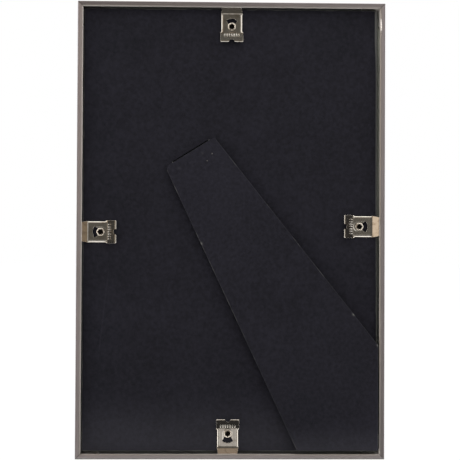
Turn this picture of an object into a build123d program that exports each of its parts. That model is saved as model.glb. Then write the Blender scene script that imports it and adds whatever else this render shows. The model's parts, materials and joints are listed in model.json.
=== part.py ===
"""Slim metal picture frame for the table top, portrait, with an easel strut and four sliding clips.

The glass faces -Y and the back faces +Y, +Z is up, and the origin is the middle of the
bottom rail's underside. Left and right are as seen from the back. Lengths are in millimetres.
"""

import os
from math import cos, radians, sin, tan

from build123d import *

os.makedirs("parts", exist_ok=True)

# Picture format and the rails around it
PICTURE_W = 200.0
PICTURE_H = 300.0
PICTURE_PLAY = 0.1  # picture to the back opening, each side
RIM_W = 3.65  # back lip, from the outer face to the opening
FRONT_LIP_W = 5.5
LIP_T = 1.0
WALL_T = 1.0
RIM_ROUND = 0.7
LIP_ROUND = 0.3
MITRE_GAP = 0.08

# Layers from the front lip to the back
GLASS_T = 2.0
GLASS_ARRIS = 0.25
INSERT_T = 0.25
INSERT_TRIM = 0.2  # insert short of the glass, each side
BOARD_T = 2.8
COVER_T = 0.3
RECESS = 4.5  # back of the board to the back of the rim

# Corner keys in the rails' channel
KEY_LEG = 14.0
KEY_SETBACK = 0.2  # key short of the lip's edge
KEY_ROUND = 0.8

# Backing board, lying a little to the left and high in its opening
BOARD_GAP = 0.95
BOARD_SHIFT_RIGHT = -0.5
BOARD_SHIFT_UP = 0.4
BOARD_ROUND = 1.0

# Eyelets that hold the clips
EYELET_INSET = 11.75  # board's edge to the eyelet
EYELET_TOP_ALONG = 0.4
EYELET_BOTTOM_ALONG = -1.1
EYELET_LEFT_ALONG = -2.0
EYELET_RIGHT_ALONG = 2.4
BARREL_D = 3.8
BORE_D = 3.2
EYELET_FIT = 0.05
HEAD_D = 7.0
HEAD_T = 0.4
FLANGE_D = 5.7
FLANGE_T = 0.45
FLANGE_ROUND = 0.5
FLANGE_CHAMFER = 0.15

# Clips: lengths run from the eyelet with the clip pushed home
CLIP_T = 0.5
CLIP_TRAVEL = 3.0
CLIP_DRAWN_TOP = 0.85
CLIP_DRAWN_BOTTOM = 0.0
CLIP_DRAWN_LEFT = 0.9
CLIP_DRAWN_RIGHT = 0.7
CLIP_FOOT = 0.15  # rolled sides above the board
CLIP_SIDE_H = 1.45
CLIP_W = 14.8
CLIP_SIDE_ROLL = 1.4
CLIP_SIDE_BACK = 2.0
NOSE_BEND = 9.05
NOSE_BEND_R = 1.0
NOSE_SLOPE = 20.0
NOSE_PLAY = 0.1  # nose under the lip
NOSE_TIP = 14.7
NOSE_ROOT_W = 14.6
NOSE_TIP_W = 12.4
TAB_W = 15.4
TAB_END = 9.95
TAB_SLOPE = 17.0
TAB_BEND_R = 1.5
TAB_LIP_H = 1.1
TAB_LIP_R = 0.8
TAB_CORNER_R = 0.9
NOTCH_W = 4.4
NOTCH_FLOOR_W = 2.2
NOTCH_DEPTH = 1.8
SLOT_FIT = 0.12
CRESCENT_GAP = 0.4  # eyelet's flange to the crescent
CRESCENT_W = 2.4
CRESCENT_SWING = 31.0
COIN_DEPTH = 0.2
COIN_MARGIN = 0.45
COIN_TO_TAB = 0.4
FLANGE_PLAY = 0.05
RIB_AT = 5.3  # eyelet to the middle of the ribs
RIB_L = 2.2
RIB_W = 0.7
RIB_H = 0.25
RIB_PITCH = 1.6
RIB_COUNT = 7

# Strut hinge, placed from the middle of the board
HINGE_RIGHT = -26.35
HINGE_UP = 52.0
HINGE_TILT = 32.0
STRUT_OPEN = 1.0  # the strut stands off the board by this angle
PIN_D = 1.2
PIN_SHORT = 0.2
PIN_FIT = 0.03
LEAF_T = 0.4
LEAF_W = 28.0
LEAF_L = 13.5
LEAF_CORNER_R = 2.0
KNUCKLE_W = 13.0
KNUCKLE_GAP = 0.15
KNUCKLE_CLEAR = 0.12
NOTCH_CLEAR = 0.25
LEAF_FOOT_L = 7.0
FOOT_CLEAR = 0.1
SLIT_NEAR = 0.12
SLIT_FAR = 0.55
SLIT_END = 0.2

# Strut
STRUT_T = 2.1
STRUT_HINGE_W = 38.7
STRUT_ASIDE = 1.0  # middle of its upper edge, left of the hinge's middle
STRUT_OVERHANG = 0.5  # beyond the hinge pin
STRUT_TAPER_LEFT = 6.8
STRUT_TAPER_RIGHT = 6.45
STRUT_SIDE_GAP = 0.9
STRUT_FOOT_GAP = 2.6
STRUT_CORNER_R = 1.5
STRUT_WORN_R = 3.5  # rounder upper left corner
PRONG_D = 0.9
PRONG_FIT = 0.05
PRONG_PROUD = 0.12
PRONG_SHORT = 0.4  # blind prongs below the strut's face
PRONG_INNER = 5.9
PRONG_OUTER = 11.2
PRONG_UPPER = 4.5
PRONG_MIDDLE = 8.15
PRONG_LOWER = 10.5

# Derived sizes
opening_w = PICTURE_W + 2 * PICTURE_PLAY
opening_h = PICTURE_H + 2 * PICTURE_PLAY
outer_w = opening_w + 2 * RIM_W
outer_h = opening_h + 2 * RIM_W
board_w = opening_w - 2 * BOARD_GAP
board_h = opening_h - 2 * BOARD_GAP

insert_at = LIP_T + GLASS_T
board_at = insert_at + INSERT_T
cover_at = board_at + BOARD_T
seat_at = cover_at + COVER_T
rail_depth = seat_at + RECESS

clip_top = CLIP_FOOT + CLIP_SIDE_H
nose_top = RECESS - LIP_T - NOSE_PLAY
nose_flat = NOSE_BEND + (nose_top - clip_top) / tan(radians(NOSE_SLOPE))
slot_w = BARREL_D + 2 * SLOT_FIT
coin_w = FLANGE_D + 2 * COIN_MARGIN
tab_bend = coin_w / 2 + COIN_TO_TAB
tab_top = clip_top + (TAB_END - tab_bend) * tan(radians(TAB_SLOPE))
rib_foot = clip_top + (RIB_AT - tab_bend) * tan(radians(TAB_SLOPE))
crescent_r = FLANGE_D / 2 + CRESCENT_GAP + CRESCENT_W / 2
flange_at = clip_top - COIN_DEPTH + FLANGE_PLAY

knuckle_r = PIN_D / 2 + PIN_FIT + LEAF_T
axis_at = knuckle_r + KNUCKLE_CLEAR
leaf_at = -knuckle_r
strut_at = leaf_at + LEAF_T
strut_cover_at = strut_at + STRUT_T
board_inside = -axis_at - COVER_T - BOARD_T
side_knuckle_w = (LEAF_W - KNUCKLE_W) / 2 - KNUCKLE_GAP
side_knuckle_at = KNUCKLE_W / 2 + KNUCKLE_GAP + side_knuckle_w / 2

# Directions and planes: u to the right and v up, both as seen from the back
TO_RIGHT = Vector(-1, 0, 0)
TO_BACK = Vector(0, 1, 0)
TO_TOP = Vector(0, 0, 1)
OUTWARD = {"top": TO_TOP, "bottom": -TO_TOP, "left": -TO_RIGHT, "right": TO_RIGHT}
frame_centre = Vector(0, -rail_depth / 2, outer_h / 2)
board_centre = frame_centre + TO_RIGHT * BOARD_SHIFT_RIGHT + TO_TOP * BOARD_SHIFT_UP
frame_plane = Plane(frame_centre, x_dir=TO_RIGHT, z_dir=TO_BACK)
board_plane = Plane(board_centre, x_dir=TO_RIGHT, z_dir=TO_BACK)

EYELETS = {
    "top": (EYELET_TOP_ALONG, board_h / 2 - EYELET_INSET),
    "bottom": (EYELET_BOTTOM_ALONG, EYELET_INSET - board_h / 2),
    "left": (EYELET_INSET - board_w / 2, EYELET_LEFT_ALONG),
    "right": (board_w / 2 - EYELET_INSET, EYELET_RIGHT_ALONG),
}
CLIPS_DRAWN = {
    "top": CLIP_DRAWN_TOP,
    "bottom": CLIP_DRAWN_BOTTOM,
    "left": CLIP_DRAWN_LEFT,
    "right": CLIP_DRAWN_RIGHT,
}

hinge_along = TO_RIGHT * cos(radians(HINGE_TILT)) + TO_TOP * sin(radians(HINGE_TILT))
hinge_centre = board_plane.from_local_coords(Vector(HINGE_RIGHT, HINGE_UP, seat_at + axis_at))
hinge_plane = Plane(hinge_centre, x_dir=hinge_along, z_dir=TO_BACK)
strut_lean = hinge_plane.y_dir * sin(radians(STRUT_OPEN)) + TO_BACK * cos(radians(STRUT_OPEN))
strut_plane = Plane(hinge_centre, x_dir=hinge_along, z_dir=strut_lean)


def across(plane, along=0.0):
    """Plane square to the hinge pin: x away from the strut, y away from the board."""
    return Plane(plane.origin + plane.x_dir * along, x_dir=plane.y_dir, z_dir=plane.x_dir)


# Rails

with BuildSketch() as rail_section:
    with BuildLine():
        Polyline(
            (0, 0),
            (FRONT_LIP_W, 0),
            (FRONT_LIP_W, LIP_T),
            (WALL_T, LIP_T),
            (WALL_T, rail_depth - LIP_T),
            (RIM_W, rail_depth - LIP_T),
            (RIM_W, rail_depth),
            (0, rail_depth),
            close=True,
        )
    make_face()
    fillet(rail_section.vertices().group_by(Axis.X)[0], RIM_ROUND)
    fillet(rail_section.vertices().filter_by_position(Axis.X, RIM_W, RIM_W), LIP_ROUND)
    fillet(rail_section.vertices().filter_by_position(Axis.X, FRONT_LIP_W, FRONT_LIP_W), LIP_ROUND)


def build_rail(side):
    """Channel rail with its lips turned inwards, mitred at both ends."""
    out = OUTWARD[side]
    upright = side in ("left", "right")
    reach = outer_w / 2 if upright else outer_h / 2
    run = outer_h / 2 if upright else outer_w / 2
    section = Plane(frame_centre + out * reach, x_dir=-out, z_dir=TO_BACK.cross(out))
    with BuildPart() as rail:
        with BuildSketch(section):
            add(rail_section.sketch)
        extrude(amount=run, both=True)
        for end in (-1, 1):
            corner = section.origin + section.z_dir * end * (run - MITRE_GAP / 2)
            split(bisect_by=Plane(corner, z_dir=section.x_dir + section.z_dir * end), keep=Keep.BOTTOM)
    rail.part.label = f"rail_{side}"
    export_step(rail.part, f"parts/rail_{side}.step")


for side in OUTWARD:
    build_rail(side)


# Corner keys, standing in the channel behind the lips

KEYS = {"top_left": (-1, 1), "top_right": (1, 1), "bottom_left": (-1, -1), "bottom_right": (1, -1)}
KEY_ALIGN = {-1: Align.MIN, 1: Align.MAX}
key_t = RIM_W - WALL_T - KEY_SETBACK


def build_key(corner):
    """L-shaped key against the outer walls of two rails."""
    right, up = KEYS[corner]
    reach_right = right * (outer_w / 2 - WALL_T)
    reach_up = up * (outer_h / 2 - WALL_T)
    align = (KEY_ALIGN[right], KEY_ALIGN[up])
    with BuildPart() as key:
        with BuildSketch(frame_plane.offset(LIP_T)) as outline:
            with Locations((reach_right, reach_up)):
                Rectangle(KEY_LEG, key_t, align=align)
                Rectangle(key_t, KEY_LEG, align=align)
            fillet(outline.vertices().sort_by_distance((0, 0))[:3], min(KEY_ROUND, key_t / 3))
        extrude(amount=rail_depth - 2 * LIP_T)
    key.part.label = f"corner_key_{corner}"
    export_step(key.part, f"parts/corner_key_{corner}.step")


for corner in KEYS:
    build_key(corner)


# Glass, picture insert, board and its covering

with BuildPart() as glass_pane:
    with BuildSketch(frame_plane.offset(LIP_T)):
        Rectangle(PICTURE_W, PICTURE_H)
    extrude(amount=GLASS_T)
    chamfer(glass_pane.edges(), GLASS_ARRIS)
glass_pane.part.label = "glass_pane"
export_step(glass_pane.part, "parts/glass_pane.step")

with BuildPart() as picture_insert:
    with BuildSketch(frame_plane.offset(insert_at)):
        Rectangle(PICTURE_W - 2 * INSERT_TRIM, PICTURE_H - 2 * INSERT_TRIM)
    extrude(amount=INSERT_T)
picture_insert.part.label = "picture_insert"
export_step(picture_insert.part, "parts/picture_insert.step")

with BuildSketch() as hinge_slit:
    with Locations((0, knuckle_r - LEAF_T - SLIT_NEAR)):
        Rectangle(LEAF_W + 2 * SLIT_END, LEAF_T + SLIT_NEAR + SLIT_FAR, align=(Align.CENTER, Align.MIN))

with BuildPart() as backing_board:
    with BuildSketch(board_plane.offset(board_at)):
        RectangleRounded(board_w, board_h, BOARD_ROUND)
    extrude(amount=BOARD_T)
    with BuildSketch(board_plane.offset(board_at)):
        with Locations(*EYELETS.values()):
            Circle(BARREL_D / 2 + EYELET_FIT)
    extrude(amount=BOARD_T, mode=Mode.SUBTRACT)
    with BuildSketch(board_plane.offset(board_at)):
        with Locations(*EYELETS.values()):
            Circle(HEAD_D / 2 + EYELET_FIT)
    extrude(amount=HEAD_T, mode=Mode.SUBTRACT)
    with BuildSketch(hinge_plane.offset(board_inside)):
        add(hinge_slit.sketch)
    extrude(amount=BOARD_T, mode=Mode.SUBTRACT)
    with BuildSketch(hinge_plane.offset(board_inside)):
        with Locations((0, knuckle_r - LEAF_T - SLIT_NEAR)):
            Rectangle(
                LEAF_W + 2 * SLIT_END,
                LEAF_FOOT_L + SLIT_NEAR + FOOT_CLEAR,
                align=(Align.CENTER, Align.MIN),
            )
    extrude(amount=LEAF_T, mode=Mode.SUBTRACT)
backing_board.part.label = "backing_board"
export_step(backing_board.part, "parts/backing_board.step")

with BuildPart() as backing_cover:
    with BuildSketch(board_plane.offset(cover_at)):
        RectangleRounded(board_w, board_h, BOARD_ROUND)
        with Locations(*EYELETS.values()):
            Circle(BARREL_D / 2 + EYELET_FIT, mode=Mode.SUBTRACT)
    extrude(amount=COVER_T)
    with BuildSketch(hinge_plane.offset(-axis_at)):
        add(hinge_slit.sketch)
    extrude(amount=-COVER_T, mode=Mode.SUBTRACT)
backing_cover.part.label = "backing_cover"
export_step(backing_cover.part, "parts/backing_cover.step")


# Eyelets: a wide head inside the board, a six-sided rolled flange on the clip


def build_eyelet(side):
    """Hollow rivet through the board and the slot of a clip."""
    inside = Plane(
        board_plane.from_local_coords(Vector(*EYELETS[side], board_at)), x_dir=OUTWARD[side], z_dir=TO_BACK
    )
    flange_plane = inside.offset(seat_at - board_at + flange_at)
    length = seat_at - board_at + flange_at + FLANGE_T
    with BuildPart() as eyelet:
        with BuildSketch(inside):
            Circle(HEAD_D / 2)
        extrude(amount=HEAD_T)
        with BuildSketch(flange_plane) as flange:
            RegularPolygon(FLANGE_D / 2, 6)
            fillet(flange.vertices(), FLANGE_ROUND)
        extrude(amount=FLANGE_T)
        chamfer(eyelet.faces().sort_by(Axis.Y)[-1].edges(), FLANGE_CHAMFER)
        with BuildSketch(inside):
            Circle(BARREL_D / 2)
        extrude(amount=length)
        with BuildSketch(inside):
            Circle(BORE_D / 2)
        extrude(amount=length, mode=Mode.SUBTRACT)
    eyelet.part.label = f"eyelet_{side}"
    export_step(eyelet.part, f"parts/eyelet_{side}.step")


for side in EYELETS:
    build_eyelet(side)


# Clips: x towards the rail and y away from the board in the profile

with BuildSketch() as clip_profile:
    with BuildLine():
        FilletPolyline(
            (-TAB_END, tab_top - TAB_LIP_H),
            (-TAB_END, tab_top),
            (-tab_bend, clip_top),
            (NOSE_BEND, clip_top),
            (nose_flat, nose_top),
            (NOSE_TIP, nose_top),
            radius=[TAB_LIP_R, TAB_BEND_R, NOSE_BEND_R, NOSE_BEND_R],
        )
        offset(amount=CLIP_T, side=Side.RIGHT)
    make_face()

with BuildSketch() as clip_section:
    with BuildLine():
        FilletPolyline(
            (-CLIP_W / 2, CLIP_FOOT),
            (-CLIP_W / 2, clip_top),
            (CLIP_W / 2, clip_top),
            (CLIP_W / 2, CLIP_FOOT),
            radius=CLIP_SIDE_ROLL,
        )
        offset(amount=CLIP_T, side=Side.RIGHT)
    make_face()

with BuildSketch() as clip_plan:
    with Locations((-TAB_END, 0)):
        Rectangle(TAB_END - CLIP_SIDE_BACK, TAB_W, align=(Align.MIN, Align.CENTER))
    fillet(clip_plan.vertices().group_by(Axis.X)[0], TAB_CORNER_R)
    with Locations((-CLIP_SIDE_BACK, 0)):
        Rectangle(
            CLIP_SIDE_BACK + NOSE_BEND, CLIP_W - 2 * CLIP_SIDE_ROLL, align=(Align.MIN, Align.CENTER)
        )
    Polygon(
        (NOSE_BEND, NOSE_ROOT_W / 2),
        (NOSE_BEND, -NOSE_ROOT_W / 2),
        (NOSE_TIP, -NOSE_TIP_W / 2),
        (NOSE_TIP, NOSE_TIP_W / 2),
        align=None,
    )
    Polygon(
        (-TAB_END, NOTCH_W / 2),
        (-TAB_END, -NOTCH_W / 2),
        (NOTCH_DEPTH - TAB_END, -NOTCH_FLOOR_W / 2),
        (NOTCH_DEPTH - TAB_END, NOTCH_FLOOR_W / 2),
        align=None,
        mode=Mode.SUBTRACT,
    )

with BuildLine() as crescent:
    CenterArc((0, 0), crescent_r, -CRESCENT_SWING, 2 * CRESCENT_SWING)

with BuildSketch() as clip_slot:
    Circle(slot_w / 2)
    Rectangle(crescent_r, slot_w, align=(Align.MIN, Align.CENTER))
    SlotArc(crescent.wire(), CRESCENT_W)

with BuildSketch() as clip_coin:
    with Locations((CLIP_TRAVEL / 2, 0)):
        SlotCenterToCenter(CLIP_TRAVEL, coin_w)


def build_clip(side):
    """Sprung clip: finger tab, body with rolled sides, and a nose that rises under the lip."""
    out = OUTWARD[side]
    home = board_plane.from_local_coords(Vector(*EYELETS[side], seat_at))
    seat = Plane(home - out * CLIPS_DRAWN[side], x_dir=out, z_dir=TO_BACK)
    slope = radians(TAB_SLOPE)
    tab_plane = Plane(
        seat.origin - out * RIB_AT + TO_BACK * rib_foot,
        x_dir=out * cos(slope) - TO_BACK * sin(slope),
        z_dir=out * sin(slope) + TO_BACK * cos(slope),
    )
    with BuildPart() as clip:
        with BuildSketch(Plane(seat.origin, x_dir=out, z_dir=-seat.y_dir)):
            add(clip_profile.sketch)
        extrude(amount=TAB_W / 2, both=True)
        with BuildSketch(seat):
            add(clip_plan.sketch)
        extrude(amount=tab_top + nose_top, mode=Mode.INTERSECT)
        with BuildSketch(Plane(seat.origin - out * CLIP_SIDE_BACK, x_dir=seat.y_dir, z_dir=out)):
            add(clip_section.sketch)
        extrude(amount=CLIP_SIDE_BACK + NOSE_BEND)
        with BuildSketch(tab_plane):
            with GridLocations(0, RIB_PITCH, 1, RIB_COUNT):
                SlotOverall(RIB_L, RIB_W)
        extrude(amount=RIB_H)
        with BuildSketch(seat.offset(clip_top)):
            add(clip_coin.sketch)
        extrude(amount=-COIN_DEPTH, mode=Mode.SUBTRACT)
        with BuildSketch(seat):
            add(clip_slot.sketch)
        extrude(amount=clip_top, mode=Mode.SUBTRACT)
    clip.part.label = f"clip_{side}"
    export_step(clip.part, f"parts/clip_{side}.step")


for side in EYELETS:
    build_clip(side)


# Hinge: a leaf clinched through the board, a pin, and a leaf pronged into the strut

with BuildSketch() as knuckle_ring:
    Circle(knuckle_r)
    Circle(knuckle_r - LEAF_T, mode=Mode.SUBTRACT)

with BuildPart() as hinge_board_leaf:
    for along in (-side_knuckle_at, side_knuckle_at):
        with BuildSketch(across(hinge_plane, along)):
            add(knuckle_ring.sketch)
            with Locations((knuckle_r, 0)):
                Rectangle(LEAF_T, axis_at, align=(Align.MAX, Align.MAX))
            Circle(knuckle_r - LEAF_T, mode=Mode.SUBTRACT)
        extrude(amount=side_knuckle_w / 2, both=True)
    with BuildSketch(across(hinge_plane)):
        with Locations((knuckle_r, -axis_at)):
            Rectangle(LEAF_T, COVER_T + BOARD_T, align=(Align.MAX, Align.MAX))
        with Locations((knuckle_r - LEAF_T, board_inside)):
            Rectangle(LEAF_FOOT_L, LEAF_T, align=(Align.MIN, Align.MIN))
    extrude(amount=LEAF_W / 2, both=True)
hinge_board_leaf.part.label = "hinge_board_leaf"
export_step(hinge_board_leaf.part, "parts/hinge_board_leaf.step")

with BuildPart() as hinge_pin:
    with BuildSketch(across(hinge_plane)):
        Circle(PIN_D / 2)
    extrude(amount=LEAF_W / 2 - PIN_SHORT, both=True)
hinge_pin.part.label = "hinge_pin"
export_step(hinge_pin.part, "parts/hinge_pin.step")

PRONGS_THROUGH = [
    (PRONG_INNER, -PRONG_UPPER),
    (PRONG_OUTER, -PRONG_MIDDLE),
    (PRONG_INNER, -PRONG_LOWER),
]
PRONGS_BLIND = [(-right, up) for right, up in PRONGS_THROUGH]
leaf_start = -knuckle_r - NOTCH_CLEAR

with BuildPart() as hinge_strut_leaf:
    with BuildSketch(strut_plane.offset(leaf_at)) as leaf:
        with Locations((0, leaf_start)):
            Rectangle(LEAF_W, LEAF_L + leaf_start, align=(Align.CENTER, Align.MAX))
        fillet(leaf.vertices().group_by(Axis.Y)[0], LEAF_CORNER_R)
        Rectangle(KNUCKLE_W, LEAF_L, align=(Align.CENTER, Align.MAX))
    extrude(amount=LEAF_T)
    with BuildSketch(across(strut_plane)):
        add(knuckle_ring.sketch)
    extrude(amount=KNUCKLE_W / 2, both=True)
    with BuildSketch(strut_plane.offset(strut_at)):
        with Locations(*PRONGS_THROUGH):
            Circle(PRONG_D / 2)
    extrude(amount=STRUT_T + COVER_T + PRONG_PROUD)
    with BuildSketch(strut_plane.offset(strut_at)):
        with Locations(*PRONGS_BLIND):
            Circle(PRONG_D / 2)
    extrude(amount=STRUT_T - PRONG_SHORT)
hinge_strut_leaf.part.label = "hinge_strut_leaf"
export_step(hinge_strut_leaf.part, "parts/hinge_strut_leaf.step")


# Strut: a blank that widens from the hinge, trimmed parallel to the right and bottom rails

to_centre = hinge_plane.to_local_coords(frame_centre)
strut_reach = outer_h
strut_left = STRUT_HINGE_W / 2 + STRUT_ASIDE
strut_right = STRUT_HINGE_W - strut_left

with BuildSketch() as strut_outline:
    Polygon(
        (-strut_left, STRUT_OVERHANG),
        (-strut_left - strut_reach * tan(radians(STRUT_TAPER_LEFT)), STRUT_OVERHANG - strut_reach),
        (strut_right + strut_reach * tan(radians(STRUT_TAPER_RIGHT)), STRUT_OVERHANG - strut_reach),
        (strut_right, STRUT_OVERHANG),
        align=None,
    )
    with Locations((to_centre.X, to_centre.Y)):
        Rectangle(
            opening_w - 2 * STRUT_SIDE_GAP,
            opening_h - 2 * STRUT_FOOT_GAP,
            rotation=-HINGE_TILT,
            mode=Mode.INTERSECT,
        )
    worn_corner = strut_outline.vertices().group_by(Axis.Y)[-1].sort_by(Axis.X)[0]
    fillet(strut_outline.vertices() - [worn_corner], STRUT_CORNER_R)
    worn_corner = strut_outline.vertices().group_by(Axis.Y)[-1].sort_by(Axis.X)[0]
    fillet(worn_corner, STRUT_WORN_R)

with BuildPart() as strut_board:
    with BuildSketch(strut_plane.offset(strut_at)):
        add(strut_outline.sketch)
        with Locations((0, leaf_start)):
            Rectangle(
                LEAF_W + 2 * NOTCH_CLEAR,
                STRUT_OVERHANG - leaf_start,
                align=(Align.CENTER, Align.MIN),
                mode=Mode.SUBTRACT,
            )
        with Locations(*PRONGS_THROUGH, *PRONGS_BLIND):
            Circle(PRONG_D / 2 + PRONG_FIT, mode=Mode.SUBTRACT)
    extrude(amount=STRUT_T)
strut_board.part.label = "strut_board"
export_step(strut_board.part, "parts/strut_board.step")

with BuildPart() as strut_cover:
    with BuildSketch(strut_plane.offset(strut_cover_at)):
        add(strut_outline.sketch)
        with Locations(*PRONGS_THROUGH):
            Circle(PRONG_D / 2 + PRONG_FIT, mode=Mode.SUBTRACT)
    extrude(amount=COVER_T)
strut_cover.part.label = "strut_cover"
export_step(strut_cover.part, "parts/strut_cover.step")
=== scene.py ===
"""Looks of a slim metal picture frame for the table top, portrait, seen from its back.

The glass faces -Y, the back faces +Y and +Z is up. Left and right are as seen from the back,
so the right is at -X. Lengths are in metres.
"""

import json
from math import cos, pi, radians, sin, tan

import bmesh
import bpy
import numpy as np
from bpy.props import FloatProperty, FloatVectorProperty, IntProperty, PointerProperty
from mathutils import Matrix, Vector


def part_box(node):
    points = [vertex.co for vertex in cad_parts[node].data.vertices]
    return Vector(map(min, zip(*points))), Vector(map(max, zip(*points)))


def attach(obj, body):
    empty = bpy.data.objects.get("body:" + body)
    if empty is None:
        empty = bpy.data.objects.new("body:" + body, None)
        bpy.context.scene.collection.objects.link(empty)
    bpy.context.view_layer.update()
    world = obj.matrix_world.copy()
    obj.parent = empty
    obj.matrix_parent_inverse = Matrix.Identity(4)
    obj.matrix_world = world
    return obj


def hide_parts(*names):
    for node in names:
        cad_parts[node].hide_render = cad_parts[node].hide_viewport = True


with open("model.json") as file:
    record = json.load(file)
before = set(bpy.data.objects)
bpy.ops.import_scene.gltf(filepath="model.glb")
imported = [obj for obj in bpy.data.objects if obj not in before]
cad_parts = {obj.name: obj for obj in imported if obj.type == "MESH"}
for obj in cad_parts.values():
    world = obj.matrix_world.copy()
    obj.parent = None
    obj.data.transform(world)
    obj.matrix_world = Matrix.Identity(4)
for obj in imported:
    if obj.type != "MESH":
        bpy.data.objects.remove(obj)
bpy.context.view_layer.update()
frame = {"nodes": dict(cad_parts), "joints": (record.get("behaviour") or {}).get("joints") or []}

bl_info = {
    "name": "Picture Frame Back",
    "version": (1, 0, 0),
    "blender": (4, 5, 0),
    "location": "3D View > Sidebar > Picture Frame",
    "description": "Dresses a slim metal picture frame: rails, board, strut, clips, glass and stage",
    "category": "Object",
}

MM = 0.001
TO_BACK = np.array((0.0, 1.0, 0.0))
OUTWARD = {
    "top": np.array((0.0, 0.0, 1.0)),
    "bottom": np.array((0.0, 0.0, -1.0)),
    "left": np.array((1.0, 0.0, 0.0)),
    "right": np.array((-1.0, 0.0, 0.0)),
}
JOINTS = {joint["name"]: joint for joint in frame["joints"]}

# Points round and along each surface; the strut's underside has one row for every STRUT_SPARSE rows
RAIL_AROUND, RAIL_ALONG = 320, 121
STRUT_AROUND, STRUT_ROWS, STRUT_SPARSE = 720, 110, 9
CLIP_AROUND, CLIP_ROWS, CLIP_LINE = 640, 64, 3001
EYELET_AROUND = 96
INSERT_AROUND, INSERT_ROWS = 500, 80
EDGE_STEPS = 4
CARD_AROUND, CARD_RINGS = 64, 24

# Least turn of a sharp edge on a rail or an eyelet, and how far the lip of a clip's tab turns down
SHARP_TURN, LIP_TURN = radians(40), radians(85)

# Radii of the cut edges of the two papers, and of the insert's corners
PAPER_EDGE, INSERT_EDGE, INSERT_CORNER = 0.06 * MM, 0.04 * MM, 0.3 * MM

CARD_RADIUS, CARD_SPREAD = 3.0, radians(80)
FLOOR_REACH = 6.0
WHITE = (1.0, 1.0, 1.0, 1.0)


def box_corners(node):
    """Lower and upper corner of a node's box, as arrays."""
    return tuple(np.array(corner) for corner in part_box(node))


def box_middle(node):
    """Middle of a node's box."""
    low, high = box_corners(node)
    return (low + high) / 2


def at_depth(point, depth):
    """Point moved along Y to a given depth."""
    return point * (1 - TO_BACK) + TO_BACK * depth


def side_axes(side):
    """Directions at one side of the frame, as rows: out to its rail, along it and out of the back."""
    return np.stack([OUTWARD[side], np.cross(TO_BACK, OUTWARD[side]), TO_BACK])


OUTER_LOW = np.minimum.reduce([box_corners(f"rail_{side}")[0] for side in OUTWARD])
OUTER_HIGH = np.maximum.reduce([box_corners(f"rail_{side}")[1] for side in OUTWARD])
MIDDLE = (OUTER_LOW + OUTER_HIGH) / 2
BOARD_LOW, BOARD_HIGH = box_corners("backing_cover")
BOARD_FACE = BOARD_HIGH[1]


# Settings


def length(name, description, millimetres):
    """Length property with its default written in millimetres."""
    return FloatProperty(
        name=name, description=description, default=millimetres * MM, unit="LENGTH", precision=5
    )


def angle(name, description, degrees):
    """Angle property with its default written in degrees."""
    return FloatProperty(name=name, description=description, default=radians(degrees), unit="ROTATION")


def share(name, description, default):
    """Property between 0 and 1."""
    return FloatProperty(
        name=name, description=description, default=default, min=0, max=1, subtype="FACTOR"
    )


def number(name, description, default):
    """Plain number property."""
    return FloatProperty(name=name, description=description, default=default)


def ends(name, description, default):
    """Two values, for the lower or right end and for the upper or left end."""
    return FloatVectorProperty(name=name, description=description, default=default, size=2)


def band(name, description, millimetres):
    """Two lengths, where a mark begins and where it is whole, with defaults written in millimetres."""
    default = tuple(value * MM for value in millimetres)
    return FloatVectorProperty(
        name=name, description=description, default=default, size=2, unit="LENGTH", precision=5
    )


def spot(name, description, millimetres):
    """Place property with its default written in millimetres."""
    default = tuple(value * MM for value in millimetres)
    return FloatVectorProperty(
        name=name, description=description, default=default, subtype="TRANSLATION", precision=5
    )


def colour(name, description, default):
    """Linear colour property."""
    return FloatVectorProperty(
        name=name, description=description, default=default, size=3, min=0, max=1, subtype="COLOR"
    )


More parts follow.
